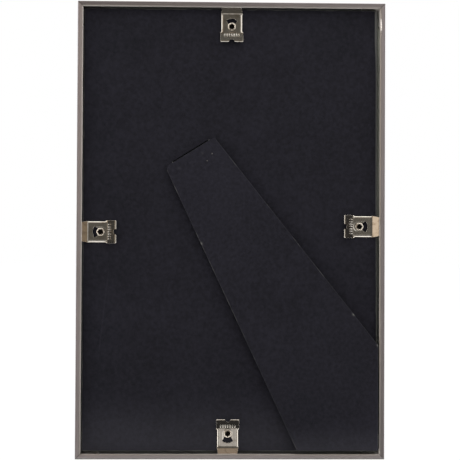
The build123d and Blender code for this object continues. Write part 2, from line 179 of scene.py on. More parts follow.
class RailSettings(bpy.types.PropertyGroup):
    """Sizes and finish of the rails"""

    rim: length("Rim", "Width of the lip on the back", 3.65)
    lip: length("Lip", "Thickness of the lips", 1.0)
    wall: length("Wall", "Thickness of the outer wall", 1.0)
    outer_round: length("Outer round", "Radius of the outer edges", 0.7)
    inner_round: length("Inner round", "Radius of the lips' edges", 0.3)
    mitre_gap: length("Mitre gap", "Seam between two rails", 0.08)
    bevel: length("Bevel", "Width of the bevel along the opening", 0.8)
    bevel_drop: length("Bevel drop", "How far the bevel falls", 0.22)
    ripple: length("Ripple", "Height of the slight waves along the lip", 0.02)
    burr: length("Burr", "Height of the burr near the upper end of the right rail", 0.24)
    burr_half: length("Burr half", "Half the width of the burr", 0.4)
    burr_inset: length("Burr inset", "Outer face to the middle of the burr", 2.85)
    burr_at: length("Burr place", "Middle of the right rail to the middle of the burr", 139.0)
    burr_run: length("Burr run", "Half the length of the burr", 5.0)
    seam: length("Seam", "Width of the grime beside a mitre", 0.45)
    metal: colour("Metal", "Satin metal", (0.63, 0.575, 0.59))
    # Shade is the darker metal of the brushing marks, and also the colour of the painted shade along the
    # outer edge and on the darker rails and ends
    shade: colour("Shade", "Duller metal in the brushing marks and outer edge", (0.32, 0.292, 0.30))
    # Painted light and shade: how much darker each rail is painted at its two ends, as light falls on it;
    # values below 0 paint it lighter
    dull_top: ends("Top dullness", "Dullness of the top rail at both its ends", (0.10, 0.27))
    dull_bottom: ends("Bottom dullness", "Dullness of the bottom rail at both its ends", (-0.09, -0.09))
    dull_left: ends("Left dullness", "Dullness of the left rail at both its ends", (0.08, -0.20))
    dull_right: ends("Right dullness", "Dullness of the right rail at both its ends", (0.24, -0.03))
    # Painted highlight: the paler metal that the bevel and the burr take, so that they look lit
    polish: colour("Polish", "Metal rubbed bright along the bevel", (0.82, 0.78, 0.74))
    # Painted shade: the inside of the channel is made dark and not metallic, as shade under the lips
    inside: colour("Inside", "Dull metal inside the channel", (0.10, 0.10, 0.09))
    # Painted light: the right rail's channel is made paler, more so towards the top, as light from the
    # left falls into it
    lining: colour("Lining", "Pale strip of paper in the right rail's channel", (0.46, 0.46, 0.40))
    lining_from: band("Lining from", "Across the frame, where it begins and is whole", (-90, -95))
    lining_rise: band("Lining rise", "Heights between which it turns pale", (100, 190))
    lining_top: band("Lining top", "Heights between which it turns paler still", (262, 288))
    roughness: share("Roughness", "Roughness of the satin finish", 0.46)
    streak: length("Streak", "Width of the brushing marks", 0.5)
    streak_run: length("Streak run", "Length of the brushing marks", 60.0)


class BoardSettings(bpy.types.PropertyGroup):
    """Sizes and finish of the flock paper and the board under it"""

    flock: colour("Flock", "Black flock paper", (0.0114, 0.0108, 0.0154))
    # This colour also serves the painted light low down on the paper
    lint: colour("Lint", "Specks of lint", (0.16, 0.157, 0.18))
    # The worn colour also serves the painted light along the backing's right edge
    worn: colour("Worn", "Paper worn through to the board", (0.17, 0.168, 0.155))
    # Painted light: the paper is made paler low down, as light from below falls on it
    dust: share("Dust", "Share of dust low on the paper", 0.095)
    dust_high: length("Dust height", "How far up the dust reaches", 48.0)
    strut_tone: number("Strut tone", "Tone of the strut's paper to the board's", 1.08)
    # How far down the strut the paper is made lighter towards the hinge
    nap_reach: length("Nap reach", "How far down the strut its nap is brushed up", 95.0)
    # Painted light: a pale strip along the right edge of the paper, wider and paler towards the top, as
    # light from the left reaches it
    bare: length("Bare strip", "Board left bare along the right edge of the paper", 0.8)
    bare_rise: band("Bare rise", "Heights between which the bare strip appears", (90, 200))
    bare_top: band("Bare top", "Heights between which it widens", (255, 285))
    core: colour("Core", "Cut edge of the board", (0.035, 0.034, 0.034))
    crease_start: spot("Crease start", "Upper end of the crease on the board", (82, 0, 130))
    crease_end: spot("Crease end", "Lower end of the crease on the board", (90, 0, 58))
    crease_width: length("Crease width", "Half the width of the crease", 0.6)
    crease_fade: band("Crease fade", "Lengths over which it fades, above and below", (10, 20))
    strut_top: length("Strut top", "Width of the strut at its hinge", 38.7)
    strut_aside: length("Strut aside", "Middle of its upper edge, left of the hinge's middle", 1.0)
    overhang: length("Overhang", "Hinge pin to the strut's upper end", 0.5)
    taper_left: angle("Left taper", "How far the strut's left side spreads", 6.8)
    taper_right: angle("Right taper", "How far the strut's right side spreads", 6.45)
    strut_face: length("Strut face", "Hinge pin to the strut's face", 1.77)
    strut_corner: length("Strut corner", "Radius of the strut's corners", 1.5)
    strut_worn: length("Worn corner", "Radius of its upper left corner", 3.5)
    waver: length("Waver", "How far the strut's cut edge wanders", 0.12)
    ripple: length("Ripple", "Height of the waves in the paper", 0.06)
    prong_inner: length("Inner prongs", "Hinge's middle to the inner prongs", 5.9)
    prong_outer: length("Outer prongs", "Hinge's middle to the outer prongs", 11.2)
    prong_upper: length("Upper prongs", "Hinge pin to the upper prongs", 4.5)
    prong_middle: length("Middle prongs", "Hinge pin to the middle prongs", 8.15)
    prong_lower: length("Lower prongs", "Hinge pin to the lower prongs", 10.5)
    lump_aside: length("Lump aside", "Hinge's middle to the lump under the paper on the left", 12.7)
    lump_down: length("Lump down", "Hinge pin to that lump", 5.0)
    pucker: length("Pucker", "Height of the paper pushed up round a prong", 0.08)
    pucker_reach: length("Pucker reach", "Radius of a pucker", 1.0)
    slit: length("Slit", "Hinge pin to the middle of the slit in the board", 1.05)
    slit_half: length("Slit half", "Half the length of the slit", 14.2)
    cut_wear: band("Cut wear", "From a cut edge, where its wear begins and is whole", (0.55, 0.12))
    sink: length("Sink", "Width of the band in which the paper sinks to the strut's edge", 0.8)
    chip: length("Chip", "Radius of a worn spot", 0.85)
    chip_left: share("Left chip", "Place of the worn spot along the left side", 0.271)
    chip_right: share("Right chip", "Place of the worn spot along the right side", 0.852)

    def puckers(self):
        """Bumps in the paper: right of the middle line, down from the pin, and height in puckers."""
        return (
            (self.prong_inner, self.prong_upper, 1.9),
            (self.prong_outer, self.prong_middle, 1.0),
            (self.prong_inner, self.prong_lower, 1.0),
            (-self.lump_aside, self.lump_down, 1.7),
            (-self.prong_outer, self.prong_middle, 0.3),
            (-self.prong_inner, self.prong_upper, 0.3),
            (-self.prong_inner, self.prong_lower, 0.3),
        )


class ClipSettings(bpy.types.PropertyGroup):
    """Sizes of one clip, from its eyelet, and the plating on all small metal"""

    sheet: length("Sheet", "Thickness of the sheet", 0.5)
    edge: length("Edge", "Radius of the cut edges", 0.09)
    top: length("Top", "Height of the body above the board", 1.6)
    width: length("Width", "Width over the rolled sides", 14.8)
    roll: length("Roll", "Outer radius of the rolled sides", 1.9)
    side_turn: angle("Side turn", "How far the sides roll over", 70.0)
    tab_turn: share("Tab turn", "Share of that roll that the tab's sides keep", 0.12)
    side_back: length("Side back", "Eyelet to the back of the rolled sides", 2.0)
    nose_bend: length("Nose bend", "Eyelet to the bend of the nose", 9.05)
    nose_tip: length("Nose tip", "Eyelet to the tip of the nose", 14.7)
    nose_top: length("Nose top", "Height of the nose above the board", 3.38)
    nose_slope: angle("Nose slope", "Rise of the nose", 20.0)
    nose_root: length("Nose root", "Width of the nose at its bend", 14.6)
    nose_end: length("Nose end", "Width of the nose at its tip", 12.4)
    tab_bend: length("Tab bend", "Eyelet to the bend of the tab", 3.7)
    tab_end: length("Tab end", "Eyelet to the end of the tab", 9.95)
    tab_slope: angle("Tab slope", "Rise of the tab", 17.0)
    tab_width: length("Tab width", "Width of the tab", 15.4)
    tab_corner: length("Tab corner", "Radius of the tab's corners", 0.9)
    tab_lip: length("Tab lip", "Length of the lip turned down at the tab's end", 1.3)
    tab_curl: length("Tab curl", "Length of sheet that the bend of the tab takes", 0.3)
    bend: length("Bend", "Length of sheet that the bends at both ends take", 1.0)
    nose_curl: length("Nose curl", "Length of sheet that the bend of the nose takes", 2.4)
    notch: length("Notch", "Width of the thumb notch", 4.4)
    notch_floor: length("Notch floor", "Width of the floor of the notch", 2.2)
    notch_depth: length("Notch depth", "Depth of the notch", 1.8)
    slot: length("Slot", "Radius of the slot round the eyelet", 2.02)
    crescent: length("Crescent", "Eyelet to the far side of the crescent", 6.15)
    crescent_swing: angle("Crescent swing", "Half the angle that the crescent covers", 37.0)
    pocket: length("Pocket", "Depth of the pocket round the eyelet", 0.05)
    pocket_round: length("Pocket round", "Radius of the pocket's ends", 3.3)
    pocket_edge: length("Pocket edge", "Width of the pocket's slope", 1.0)
    travel: length("Travel", "How far the clip slides", 3.0)
    ribs: IntProperty(name="Ribs", description="Number of grip ribs on the tab", default=7, min=1)
    rib_at: length("Rib place", "Eyelet to the middle of the ribs", 5.3)
    rib_pitch: length("Rib pitch", "From rib to rib", 1.6)
    rib_run: length("Rib run", "Length of a rib between its round ends", 1.5)
    rib_half: length("Rib half", "Half the width of a rib", 0.33)
    rib_height: length("Rib height", "Height of a rib", 0.082)
    nickel: colour("Nickel", "Nickel plating", (0.74, 0.70, 0.64))
    tarnish: colour("Tarnish", "Plating where it has dulled", (0.46, 0.40, 0.33))
    roughness: share("Roughness", "Roughness of the plating", 0.10)
    steel: colour("Steel", "Zinc-plated steel of the keys and the prongs' tips", (0.50, 0.50, 0.50))
    chalk: band("Chalk", "Across the frame, where zinc turns chalky and is wholly so", (-96, -98))
    black: colour("Black", "Blackened steel of the hinge", (0.02, 0.02, 0.021))


class EyeletSettings(bpy.types.PropertyGroup):
    """Sizes of one eyelet"""

    bore: length("Bore", "Radius of the bore", 1.68)
    barrel: length("Barrel", "Outer radius of the barrel", 1.9)
    flange: length("Flange", "Radius of the flange across its corners", 2.8)
    flange_depth: length("Flange depth", "Thickness of the rolled flange", 0.45)
    flats: share("Flats", "How far the six sides are drawn in", 0.06)
    head: length("Head", "Radius of the head inside the board", 3.5)
    head_depth: length("Head depth", "Thickness of the head", 0.4)


class GlazingSettings(bpy.types.PropertyGroup):
    """Finish of the glass and of the sheet behind it"""

    glass: colour("Glass", "Tint of the glass", (0.975, 0.99, 0.982))
    paper: colour("Paper", "Plain insert sheet", (0.80, 0.775, 0.725))
    paper_back: colour("Paper back", "Grey back of the insert sheet", (0.21, 0.215, 0.19))
    air: length("Air", "Air between the glass and the insert", 0.04)
    wave: length("Wave", "Height of the waves in the insert", 0.02)
    # Painted shade: a dark disc on the insert's back under each eyelet, seen at the bottom of its bore
    stain: colour("Stain", "Mark that an eyelet leaves on the back of the insert", (0.022, 0.017, 0.013))
    stain_radii: band("Stain radii", "From an eyelet, where that mark begins and is whole", (3, 2))
    rule: colour("Rule", "Thin line printed round the insert", (0.45, 0.44, 0.42))
    rule_inset: length("Rule inset", "Edge of the insert to the printed line", 12.0)
    rule_width: length("Rule width", "Width of the printed line", 0.7)


class StageSettings(bpy.types.PropertyGroup):
    """Camera, lights and floor"""

    lens: FloatProperty(
        name="Lens", description="Focal length on a 36 mm sensor", default=75.7, unit="CAMERA"
    )
    stand: spot("Stand", "Camera from the bottom rail's underside", (14.54, 655.03, 144.57))
    aim: FloatVectorProperty(
        name="Aim",
        description="Turn of the camera",
        default=(radians(90.81), radians(-0.275), radians(178.779)),
        subtype="EULER",
    )
    ambient: number("Ambient", "Strength of the tent's light", 0.72)
    key: number("Key", "Power of the soft lamp on the left", 6.0)
    key_size: length("Key size", "Side of that lamp", 800.0)
    key_place: spot("Key place", "Where that lamp stands", (1500, 450, 500))
    fill: number("Fill", "Power of the soft lamp above", 9.0)
    fill_size: length("Fill size", "Side of that lamp", 1400.0)
    fill_place: spot("Fill place", "Where that lamp stands", (-300, 900, 1500))
    floor: colour("Floor", "Pale floor", (0.80, 0.80, 0.80))
    floor_glow: number("Floor glow", "Strength of the floor's white, as the camera sees it", 1.15)
    shadow: share("Shadow", "How much of the floor's own shading shows", 0.25)
    card: colour("Card", "Dark card round the camera", (0.11, 0.103, 0.09))
    card_high: colour("Card above", "Card above the camera", (0.31, 0.25, 0.195))
    card_low: colour("Card below", "Card below the camera", (0.06, 0.056, 0.05))
    card_rim: colour("Card rim", "Darkest part of the card, towards its edge", (0.03, 0.029, 0.028))
    card_brow: colour("Card brow", "Card towards its upper edge", (0.11, 0.105, 0.095))
    card_left: colour("Card on the left", "Pale strip on the left of the card", (0.80, 0.66, 0.52))
    card_brown: colour("Card brown", "Brown strip at the far right of the card", (0.24, 0.185, 0.13))
    card_right: colour("Card on the right", "Pale strip on the right of the card", (0.90, 0.88, 0.84))
    card_front: colour("Card in front", "Pale strip low on the card", (0.95, 0.93, 0.90))
    card_middle: colour("Card in the middle", "Duller middle of that strip", (0.47, 0.45, 0.43))
    tent: colour("Tent", "White tent beyond the card, as metal mirrors it", (1.0, 0.98, 0.95))
    tent_glow: number("Tent glow", "Strength of that white", 2.0)


class PictureFrameSettings(bpy.types.PropertyGroup):
    """All settings of the frame's looks"""

    rails: PointerProperty(type=RailSettings)
    board: PointerProperty(type=BoardSettings)
    clips: PointerProperty(type=ClipSettings)
    eyelets: PointerProperty(type=EyeletSettings)
    glazing: PointerProperty(type=GlazingSettings)
    stage: PointerProperty(type=StageSettings)


# Shader expressions


class Value:
    """Socket that takes part in Python expressions: each operator adds one Math node."""

    def __init__(self, graph, socket):
        self.graph = graph
        self.socket = socket

    def __add__(self, other):
        return self.graph.math("ADD", self, other)

    def __sub__(self, other):
        return self.graph.math("SUBTRACT", self, other)

    def __rsub__(self, other):
        return self.graph.math("SUBTRACT", other, self)

    def __mul__(self, other):
        return self.graph.math("MULTIPLY", self, other)

    __radd__ = __add__
    __rmul__ = __mul__


class Graph:
    """Node tree of a material or a world."""

    def __init__(self, owner):
        owner.use_nodes = True
        self.owner = owner
        self.tree = owner.node_tree
        self.tree.nodes.clear()

    def node(self, kind, settings=None, inputs=None, output=0):
        """New node with its settings, then its sockets' values or links; gives one of its outputs."""
        node = self.tree.nodes.new(kind)
        for key, value in (settings or {}).items():
            setattr(node, key, value)
        for key, value in (inputs or {}).items():
            if isinstance(value, Value):
                self.tree.links.new(value.socket, node.inputs[key])
            else:
                node.inputs[key].default_value = value
        return Value(self, node.outputs[output]) if len(node.outputs) else None

    def math(self, operation, first, second):
        return self.node("ShaderNodeMath", {"operation": operation}, {0: first, 1: second})

    def place(self):
        """Object coordinates, which are the frame's own."""
        return self.node("ShaderNodeTexCoord", output="Object")

    def stretched(self, vector, factors):
        return self.node("ShaderNodeVectorMath", {"operation": "MULTIPLY"}, {0: vector, 1: factors})

    def part(self, vector, axis):
        return self.node("ShaderNodeSeparateXYZ", inputs={0: vector}, output=axis)

    def along(self, vector, direction):
        """Dot product with a fixed direction."""
        return self.node(
            "ShaderNodeVectorMath", {"operation": "DOT_PRODUCT"}, {0: vector, 1: direction}, "Value"
        )

    def distance(self, vector, point):
        """Distance from a fixed point."""
        return self.node(
            "ShaderNodeVectorMath", {"operation": "DISTANCE"}, {0: vector, 1: point}, "Value"
        )

    def attribute(self, name):
        return self.node("ShaderNodeAttribute", {"attribute_name": name}, output="Fac")

    def noise(self, vector, scale, detail):
        inputs = {"Vector": vector, "Scale": scale, "Detail": detail}
        return self.node("ShaderNodeTexNoise", inputs=inputs)

    def ramp(self, value, low, high):
        """0 where value is at low and 1 where it is at high, smooth between; high may be the lower."""
        return self.node(
            "ShaderNodeMapRange",
            {"interpolation_type": "SMOOTHSTEP"},
            {"Value": value, "From Min": low, "From Max": high},
        )

    def blend(self, factor, first, second):
        """Mix of two colours."""
        colours = [c if isinstance(c, Value) else (*c, 1.0) for c in (first, second)]
        return self.node(
            "ShaderNodeMix", {"data_type": "RGBA"}, {0: factor, 6: colours[0], 7: colours[1]}, 2
        )

    def box_gap(self, place, node):
        """Distance to the nearest of the four sides of a node's box, seen from the back."""
        low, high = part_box(node)
        gaps = []
        for axis in (0, 2):
            offset = self.part(place, axis) - (low[axis] + high[axis]) / 2
            gaps.append((high[axis] - low[axis]) / 2 - self.math("ABSOLUTE", offset, 0.0))
        return self.math("MINIMUM", *gaps)

    def bump(self, height, distance, strength):
        inputs = {"Height": height, "Distance": distance, "Strength": strength}
        return self.node("ShaderNodeBump", inputs=inputs)

    def principled(self, inputs):
        """Finishes a material with a Principled shader."""
        self.output(self.node("ShaderNodeBsdfPrincipled", inputs=inputs))
        return self.owner

    def output(self, shader, kind="ShaderNodeOutputMaterial"):
        self.node(kind, inputs={"Surface": shader})

    def mixed(self, factor, first, second):
        """Mix of two shaders."""
        return self.node("ShaderNodeMixShader", inputs={0: factor, 1: first, 2: second})

    def seen(self):
        """1 for rays from the camera and for rays that left metal or glass, otherwise 0."""
        kinds = ("Is Camera Ray", "Is Glossy Ray", "Is Transmission Ray")
        camera, glossy, through = (self.node("ShaderNodeLightPath", output=kind) for kind in kinds)
        return self.math("MAXIMUM", camera, self.math("MAXIMUM", glossy, through))


def new_material(name):
    return Graph(bpy.data.materials.new(name))


def satin_metal(look):
    """Rail metal: fine marks along the rail, slow drifts of tone, painted shade along the outer edge and a
    painted highlight along the bevel.

    Grime lies along the mitres, and a painted glint lies on the burr. Each rail is also painted lighter or
    darker from one end to the other, as light falls on it. The channel is painted dark inside as shade,
    and the right one has painted light in it that shows more towards the top.
    """
    g = new_material("satin_metal")
    run, inset = g.attribute("run"), g.attribute("inset")
    lie = {0: run * (1 / look.streak_run), 1: inset * (1 / look.streak)}
    streaks = g.noise(g.node("ShaderNodeCombineXYZ", inputs=lie), scale=1.0, detail=4.0)
    drift = g.noise(g.place(), scale=22.0, detail=2.0)
    # Painted shade along the rounded outer edge and the painted light and shade of each rail, mixed with
    # the real brushing marks and drifts of tone
    edge = g.ramp(inset, 1.5 * look.outer_round, 0.7 * look.outer_round)
    shading = g.ramp(streaks * 0.6 + drift * 0.3 + edge * 0.4 + g.attribute("shading"), 0.25, 0.85)
    # Painted highlight along the bevel, beside its real lower roughness
    bright = g.ramp(inset, look.rim - 1.3 * look.bevel, look.rim - 0.9 * look.bevel)
    tone = g.blend(bright * 0.7, g.blend(shading, look.metal, look.shade), look.polish)
    grime = g.ramp(g.attribute("seam"), look.seam, 0.3 * look.seam)
    tone = g.blend(grime * 0.4, tone, tuple(0.2 * c for c in look.shade))
    # Painted glint on the burr's raised ridge
    burr = g.ramp(g.attribute("burr"), 0.0, 0.3)
    tone = g.blend(burr, tone, look.polish)
    # Painted shade: the channel's inside is dark and not metallic
    inside = g.attribute("inside")
    place = g.place()
    high = g.part(place, 2)
    # Painted light in the right rail's channel, paler towards the top
    channel_lit = g.ramp(high, *look.lining_rise) * 0.55 + g.ramp(high, *look.lining_top) * 0.45
    channel_lit = channel_lit * g.ramp(g.part(place, 0), *look.lining_from)
    return g.principled(
        {
            "Base Color": g.blend(inside, tone, g.blend(channel_lit, look.inside, look.lining)),
            "Metallic": 1 - inside,
            "Roughness": look.roughness + (streaks - 0.5) * 0.16 - bright * 0.12 - burr * 0.28,
            "Normal": g.bump(streaks, distance=0.02 * MM, strength=0.5),
        }
    )


def nickel_plate(look, name, dulled):
    """Bright nickel with a fine orange-peel grain and patches that have dulled to brown."""
    g = new_material(name)
    place = g.place()
    grain = g.noise(place, scale=1500.0, detail=3.0)
    patches = g.ramp(g.noise(place, scale=260.0, detail=3.0), 0.45, 0.75)
    return g.principled(
        {
            "Base Color": g.blend(dulled + patches * (0.7 * (1 - dulled)), look.nickel, look.tarnish),
            "Metallic": 1.0,
            "Roughness": look.roughness + patches * 0.08,
            "Normal": g.bump(grain, distance=0.015 * MM, strength=0.5),
        }
    )


def zinc_steel(look):
    """Dull zinc-plated steel, chalky with age in the right rail's channel."""
    g = new_material("zinc_steel")
    place = g.place()
    spangle = g.noise(place, scale=500.0, detail=3.0)
    chalk = g.ramp(g.part(place, 0), *look.chalk)
    return g.principled(
        {
            "Base Color": g.blend(spangle, look.steel, look.tarnish),
            "Metallic": 1 - chalk * 0.85,
            "Roughness": 0.3 + spangle * 0.2 + chalk * 0.2,
            "Normal": g.bump(spangle, distance=0.03 * MM, strength=0.5),
        }
    )


def black_steel(look, board):
    """Blackened steel of the hinge, rubbed bright where the prongs come through the strut's paper."""
    g = new_material("black_steel")
    place = g.place()
    middle, _, _, off = strut_frame()
    proud = g.along(place, off) - float(middle @ off)
    tip = g.ramp(proud, board.strut_face - 0.1 * MM, board.strut_face)
    spangle = g.noise(place, scale=500.0, detail=3.0)
    return g.principled(
        {
            "Base Color": g.blend(tip * 0.45, look.black, look.steel),
            "Metallic": 1.0,
            "Roughness": 0.4 + spangle * 0.2,
            "Normal": g.bump(spangle, distance=0.03 * MM, strength=0.5),
        }
    )


def crease_mark(g, place, look):
    """1 along the faint crease low on the left of the board, fading out at both its ends."""
    start, end = np.array(look.crease_start), np.array(look.crease_end)
    run = unit(end - start)
    square = np.cross(run, TO_BACK)
    off = g.math("ABSOLUTE", g.along(place, square) - float(start @ square), 0.0)
    way = g.along(place, run)
    begin, finish = float(start @ run), float(end @ run)
    upper, lower = look.crease_fade
    line = g.ramp(off, look.crease_width, 0.2 * look.crease_width)
    return line * g.ramp(way, begin, begin + upper) * g.ramp(way, finish, finish - lower)


def lighter_near_hinge(g, place, look):
    """Paper made lighter towards the hinge: most at the pin, and 0 far down the strut."""
    middle, _, up, _ = strut_frame()
    below = g.along(place, up) - float(middle @ up)
    return g.ramp(below, -look.nap_reach, -0.1 * look.nap_reach) * 0.6


def slit_wear_and_edge_light(g, place, look):
    """Bare board at both ends of the slit, and painted light in a strip along the right edge that widens
    and grows paler upwards.
    """
    middle, right, up, _ = strut_frame()
    spots = []
    for side in (-1, 1):
        end = at_depth(middle + side * look.slit_half * right + look.slit * up, BOARD_FACE)
        spots.append(g.ramp(g.distance(place, end), 0.9 * look.chip, 0.3 * look.chip) * 0.6)
    # Painted light in a strip along the right edge
    high = g.part(place, 2)
    top = g.ramp(high, *look.bare_top)
    aside = (g.part(place, 0) - float(BOARD_LOW[0])) * (1 - top * 0.5)
    strip = g.ramp(aside, look.bare, 0.6 * look.bare) * g.ramp(high, *look.bare_rise) * (0.35 + top * 0.2)
    return g.math("MAXIMUM", strip, g.math("MAXIMUM", *spots))


def flock_paper(look, name, edge_gap, wear, dust_high, level=1.0, mark=None):
    """Black flock paper: short nap, mottled tone, a few specks of lint, painted light low down, and worn
    edges.

    The functions edge_gap and wear give the distance to a cut edge and the wear elsewhere, with painted
    light along the backing's right edge too, and mark, if there is one, gives a lighter mark.
    """
    g = new_material(name)
    place = g.place()
    nap = g.noise(place, scale=2400.0, detail=3.0)
    mottle = g.noise(place, scale=430.0, detail=4.0)
    cloud = g.noise(place, scale=26.0, detail=2.0)
    tone = g.ramp(nap * 0.4 + mottle * 0.55 + cloud * 0.25, 0.30, 0.90)
    if mark:
        tone = tone + mark(g, place, look) * 0.35
    dark = tuple(0.5 * level * c for c in look.flock)
    light = tuple(1.55 * level * c for c in look.flock)
    cells = {"Vector": place, "Scale": 55.0}
    speck = g.ramp(g.node("ShaderNodeTexVoronoi", inputs=cells, output="Distance"), 0.022, 0.010)
    chosen = g.ramp(g.part(g.node("ShaderNodeTexVoronoi", inputs=cells, output="Color"), 0), 0.80, 0.86)
    # Painted light low down; the next line joins it to the real specks of lint
    dust = g.ramp(g.part(place, 2), dust_high, 0.1 * dust_high) * look.dust
    lint = g.math("MAXIMUM", speck * chosen, dust)
    rub = g.ramp(g.noise(place, scale=85.0, detail=3.0), 0.50, 0.68)
    cut = g.ramp(edge_gap(g, place), *look.cut_wear) * (0.05 + rub * 0.32)
    # Real wear, and on the backing also the painted light along its right edge, take the worn colour
    worn = g.math("MAXIMUM", cut, wear(g, place))
    return g.principled(
        {
            "Base Color": g.blend(worn, g.blend(lint, g.blend(tone, dark, light), look.lint), look.worn),
            "Roughness": 0.95,
            "Specular IOR Level": 0.08,
            "Sheen Weight": 0.06,
            "Sheen Roughness": 0.6,
            "Normal": g.bump(nap + mottle, distance=0.05 * MM, strength=0.7),
        }
    )


def cut_board(look):
    """Edge of dyed board: thin plies along the face, and fibres torn by the blade."""
    g = new_material("cut_board")
    place = g.place()
    plies = g.noise(g.stretched(place, (150.0, 4000.0, 150.0)), scale=1.0, detail=2.0)
    fibres = g.noise(place, scale=900.0, detail=3.0)
    tone = g.ramp(plies + fibres, 0.7, 1.35)
    pale = tuple(2.2 * c for c in look.core)
    return g.principled(
        {
            "Base Color": g.blend(tone, look.core, pale),
            "Roughness": 0.9,
            "Specular IOR Level": 0.2,
            "Normal": g.bump(fibres, distance=0.06 * MM, strength=0.7),
        }
    )


def clear_glass(look):
    """Clear float glass with a faint green tint."""
    g = new_material("clear_glass")
    film = g.noise(g.place(), scale=9.0, detail=3.0)
    return g.principled(
        {
            "Base Color": (*look.glass, 1.0),
            "Roughness": g.ramp(film, 0.45, 0.9) * 0.03,
            "IOR": 1.5,
            "Transmission Weight": 1.0,
        }
    )


def insert_paper(look):
    """Plain uncoated sheet with one thin printed line round it; its grey back is painted dark round each
    eyelet, as shade at the bottom of the eyelet's bore.
    """
    g = new_material("insert_paper")
    place = g.place()
    off = g.math("ABSOLUTE", g.box_gap(place, "picture_insert") - look.rule_inset, 0.0)
    line = g.ramp(off, 0.6 * look.rule_width, 0.4 * look.rule_width)
    fibres = g.noise(place, scale=700.0, detail=4.0)
    shaded = tuple(0.93 * c for c in look.paper)
    sheet = g.blend(line, g.blend(g.ramp(fibres, 0.3, 0.7), shaded, look.paper), look.rule)
    low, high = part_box("picture_insert")
    back = g.ramp(g.part(place, 1), (low.y + high.y) / 2, high.y)
    reverse = look.paper_back
    # Painted shade round each eyelet, seen at the bottom of its bore
    for side in OUTWARD:
        away = g.distance(place, at_depth(box_middle(f"eyelet_{side}"), high.y))
        reverse = g.blend(g.ramp(away, *look.stain_radii), reverse, look.stain)
    return g.principled(
        {
            "Base Color": g.blend(back, sheet, reverse),
            "Roughness": 0.85,
            "Normal": g.bump(fibres, distance=0.02 * MM, strength=0.5),
        }
    )


# Surfaces


def unit(vectors):
    """Vectors scaled to length one along the last axis."""
    return vectors / np.linalg.norm(vectors, axis=-1, keepdims=True)


def smooth(low, high, value):
    """0 below low and 1 above high, with x * x * (3 - 2 * x) between."""
    x = np.clip((value - low) / (high - low), 0, 1)
    return x * x * (3 - 2 * x)


def waves(first, second, seed):
    """Gentle relief between 0 and 1: a sum of sines of two coordinates, from a fixed seed."""
    draw = np.random.default_rng(seed)
    total = np.zeros(np.broadcast(first, second).shape)
    pitches = (90 * MM, 55 * MM, 31 * MM, 17 * MM)
    for pitch in pitches:
        turn, phase = draw.uniform(0, 2 * pi, 2)
        total = total + pitch * np.sin(2 * pi * (first * cos(turn) + second * sin(turn)) / pitch + phase)
    return 0.5 + 0.5 * total / sum(pitches)


def rounded(corners, radii, steps=8):
    """Closed outline whose corners are arcs of the given radii, each touching both its sides."""
    corner = np.asarray(corners, float)
    before = unit(np.roll(corner, 1, 0) - corner)
    after = unit(np.roll(corner, -1, 0) - corner)
    half = np.arccos((before * after).sum(-1)) / 2
    radius = np.broadcast_to(radii, half.shape)
    centre = corner + unit(before + after) * (radius / np.sin(half))[:, None]
    reach = (radius / np.tan(half))[:, None]
    start, end = (corner + side * reach - centre for side in (before, after))
    sweep = (pi - 2 * half)[:, None, None]
    t = np.linspace(0, 1, steps)[None, :, None]
    arcs = (np.sin((1 - t) * sweep) * start[:, None] + np.sin(t * sweep) * end[:, None]) / np.sin(sweep)
    return (centre[:, None] + arcs).reshape(-1, 2)


def evenly(loop, count, start):
    """Closed outline as count points, evenly spaced along it, from the one nearest to start."""
    closed = np.vstack([loop, loop[:1]])
    run = np.concatenate([[0], np.cumsum(np.linalg.norm(np.diff(closed, axis=0), axis=1))])

    def at(distance):
        return np.stack([np.interp(distance, run, closed[:, k]) for k in (0, 1)], axis=-1)

    fine = np.linspace(0, run[-1], 20 * count, endpoint=False)
    first = fine[np.argmin(np.linalg.norm(at(fine) - start, axis=1))]
    return at((first + np.linspace(0, run[-1], count, endpoint=False)) % run[-1])


def sheet_skin(middle, lift, edge, holed, sparse=1):
    """Closed skin round a sheet's middle surface, given in rows from its centre or hole to its outline.

    Top is middle + lift and the underside is middle - lift, with one row of it for every sparse rows. At
    the outline, and at the hole if there is one, an edge joins them whose two corners are quarter circles
    of radius edge.
    """
    turn = np.linspace(0, pi / 2, EDGE_STEPS)[:, None, None]
    corner_out = edge * (np.sin(turn) - 1)
    corner_down = edge * (1 - np.cos(turn))

    def rim(row, nearest):
        out = unit(middle[row] - middle[nearest])
        up = unit(lift[row])
        over = middle[row] + lift[row] + corner_out * out - corner_down * up
        under = middle[row] - lift[row] + corner_out * out + corner_down * up
        return np.concatenate([over, under[::-1]])

    inner = slice(1, -1) if holed else slice(0, -1)
    rows = [(middle + lift)[inner], rim(-1, -2), (middle - lift)[inner][::-sparse]]
    if holed:
        rows.append(rim(0, 1)[::-1])
    return np.concatenate(rows)


def grid_faces(rows, columns, closed):
    """Quads of a grid whose rows are rings; the last row also meets the first where it is closed."""
    index = np.arange(rows * columns).reshape(rows, columns)
    here = index if closed else index[:-1]
    there = np.roll(index, -1, 0)[: len(here)]
    return np.stack([here, np.roll(here, -1, 1), np.roll(there, -1, 1), there], axis=-1).reshape(-1, 4)


def outward(points, faces):
    """Faces turned round if the volume that they enclose comes out negative."""
    a, b, c, d = (points[faces[:, k]] - points.mean(0) for k in range(4))
    volume = (np.cross(a, b) * c).sum() + (np.cross(a, c) * d).sum()
    return faces if volume > 0 else faces[:, ::-1]


